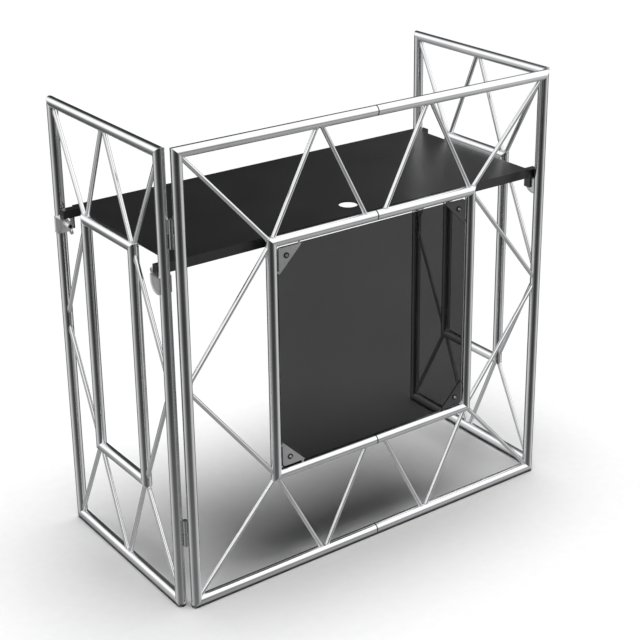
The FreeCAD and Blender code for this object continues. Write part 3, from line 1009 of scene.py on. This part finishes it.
@dataclass
class Studio:
    """A pale floor, soft light, the room that the metal mirrors, and the camera.

    The eye is in metres, the lens in millimetres and its shift in widths of the picture.
    """

    paints: Paints
    floor_half: float = 60.0
    floor_cells: int = 8
    eye: Way = (-1.9682, -2.7841, 1.9911)
    yaw: float = math.radians(36.81)
    pitch: float = math.radians(20.54)
    roll: float = math.radians(-0.225)
    lens: float = 84.04
    shift: tuple[float, float] = (-0.0461, -0.1347)
    ambient: float = 0.01
    backdrop: float = 1.0
    lamps: tuple[Lamp, ...] = (
        Lamp("overhead", 3.9, 46.0, (-1.8, 3.0)),
    )
    room_dark_way: Way = (-0.47, -0.88, 0.0)
    room_profile: Stops = (
        (0.0, 0.04), (0.17, 0.08), (0.42, 0.7), (0.6, 0.6), (0.75, 0.3), (0.9, 0.08), (1.0, 0.02),
    )
    underfoot_grey: float = 0.33
    underfoot_fade: tuple[float, float] = (-0.75, -0.45)
    ceiling_grey: float = 0.6
    ceiling_fade: tuple[float, float] = (0.6, 0.95)
    softboxes: tuple[Softbox, ...] = (
        Softbox((0.72, -0.262, 0.643), 0.78, 0.6, 1.3),
        Softbox((-0.4145, 0.7796, 0.469), 0.98, 0.86, 1.25),
        Softbox((-0.503, -0.704, 0.503), 0.9, 0.7, 1.1),
        Softbox((0.749, 0.5855, 0.309), 0.99, 0.955, 0.2),
        Softbox((-0.8, 0.0, 0.6), 0.927, 0.81, 1.15),
    )

    def build_floor(self) -> None:
        """Lay the floor."""
        cells = self.floor_cells
        solid = bmesh.new()
        bmesh.ops.create_grid(solid, x_segments=cells, y_segments=cells, size=self.floor_half)
        mesh = bpy.data.meshes.new("floor")
        solid.to_mesh(mesh)
        solid.free()
        mesh.materials.append(self.paints.get(FLOOR))
        floor = bpy.data.objects.new("floor", mesh)
        floor.visible_glossy = False
        bpy.context.scene.collection.objects.link(floor)
        log.info("%s: %s", floor.name, FLOOR.name)

    def build_lights(self) -> None:
        """Hang the wide soft lights over the booth."""
        for lamp in self.lamps:
            light = bpy.data.lights.new(lamp.name, "SUN")
            light.energy = lamp.strength
            light.angle = math.radians(lamp.spread)
            hung = bpy.data.objects.new(lamp.name, light)
            hung.rotation_euler = (*map(math.radians, lamp.tilt), 0.0)
            hung.visible_glossy = False
            bpy.context.scene.collection.objects.link(hung)
            log.info("%s: light", lamp.name)

    def build_room(self) -> None:
        """Set an even pale room for the light, and a studio with dark and bright sides for mirrors."""
        world = bpy.data.worlds.new("studio")
        world.use_nodes = True
        bpy.context.scene.world = world
        sheet = Sheet(world.node_tree)
        way = sheet.add("ShaderNodeTexCoord").outputs["Generated"]
        height = sheet.add("ShaderNodeSeparateXYZ", Vector=way).outputs["Z"]
        dark_share = self.facing(sheet, way, self.room_dark_way)
        low_room = sheet.profile(sheet.spread(dark_share, 0.0, 1.0, -1.0, 1.0), self.room_profile)
        underfoot = sheet.spread(height, 1.0, 0.0, *self.underfoot_fade)
        low_room = sheet.mix(underfoot, low_room, self.underfoot_grey)
        ceiling = sheet.spread(height, 0.0, 1.0, *self.ceiling_fade)
        mirrored = sheet.mix(ceiling, low_room, self.ceiling_grey)
        for softbox in self.softboxes:
            share = sheet.spread(self.facing(sheet, way, softbox.way), 0.0, 1.0, softbox.outer, softbox.inner)
            mirrored = sheet.mix(share, mirrored, softbox.glow)
        rays = sheet.add("ShaderNodeLightPath")
        seen = sheet.mix(rays.outputs["Is Glossy Ray"], self.ambient, mirrored)
        seen = sheet.mix(rays.outputs["Is Camera Ray"], seen, self.backdrop)
        glow = sheet.add("ShaderNodeBackground", Color=seen)
        end = sheet.add("ShaderNodeOutputWorld")
        sheet.put(end, "Surface", glow.outputs["Background"])

    def facing(self, sheet: Sheet, way: bpy.types.NodeSocket, target: Way) -> bpy.types.NodeSocket:
        """How far a direction faces a target.

        Args:
            sheet: The node sheet.
            way: Socket of the direction.
            target: The target's direction.

        Returns:
            The socket with the result, from -1 to 1.
        """
        product = sheet.add("ShaderNodeVectorMath")
        product.operation = "DOT_PRODUCT"
        sheet.put(product, 0, way)
        sheet.put(product, 1, target)
        return product.outputs["Value"]

    def build_camera(self) -> None:
        """Set the camera where the picture was taken from."""
        look = Vector((
            math.sin(self.yaw) * math.cos(self.pitch),
            math.cos(self.yaw) * math.cos(self.pitch),
            -math.sin(self.pitch),
        ))
        level_right = look.cross(Vector((0, 0, 1))).normalized()
        level_up = level_right.cross(look)
        right = level_right * math.cos(self.roll) + level_up * math.sin(self.roll)
        up = level_up * math.cos(self.roll) - level_right * math.sin(self.roll)
        lens = bpy.data.cameras.new("camera")
        lens.lens = self.lens
        lens.shift_x, lens.shift_y = self.shift
        camera = bpy.data.objects.new("camera", lens)
        turn = Matrix((right, up, -look)).transposed().to_4x4()
        camera.matrix_world = Matrix.Translation(self.eye) @ turn
        bpy.context.scene.collection.objects.link(camera)
        bpy.context.scene.camera = camera
        bpy.context.scene.view_settings.view_transform = "Standard"


def main() -> None:
    """Dress the booth, add its welds and set up the studio."""
    logging.basicConfig(level=logging.INFO, format="%(message)s")
    layout = Tubing()
    paints = Paints()
    front = FrontFrame(layout, paints)
    front.dress()
    front.build_brace_welds()
    front.build_corner_welds()
    for side in Side:
        wing = Wing(side, layout, paints)
        wing.dress()
        wing.build_welds()
    hinges = Hinges(layout, paints)
    hinges.dress()
    hinges.build_welds()
    SmokedWindow(paints).dress()
    Table(paints).dress()
    for side in Side:
        for end in End:
            clamp = Clamp(side, end, paints)
            clamp.dress()
            clamp.build_casting()
            clamp.build_nut()
    studio = Studio(paints)
    studio.build_floor()
    studio.build_lights()
    studio.build_room()
    studio.build_camera()


if __name__ == "__main__":
    main()
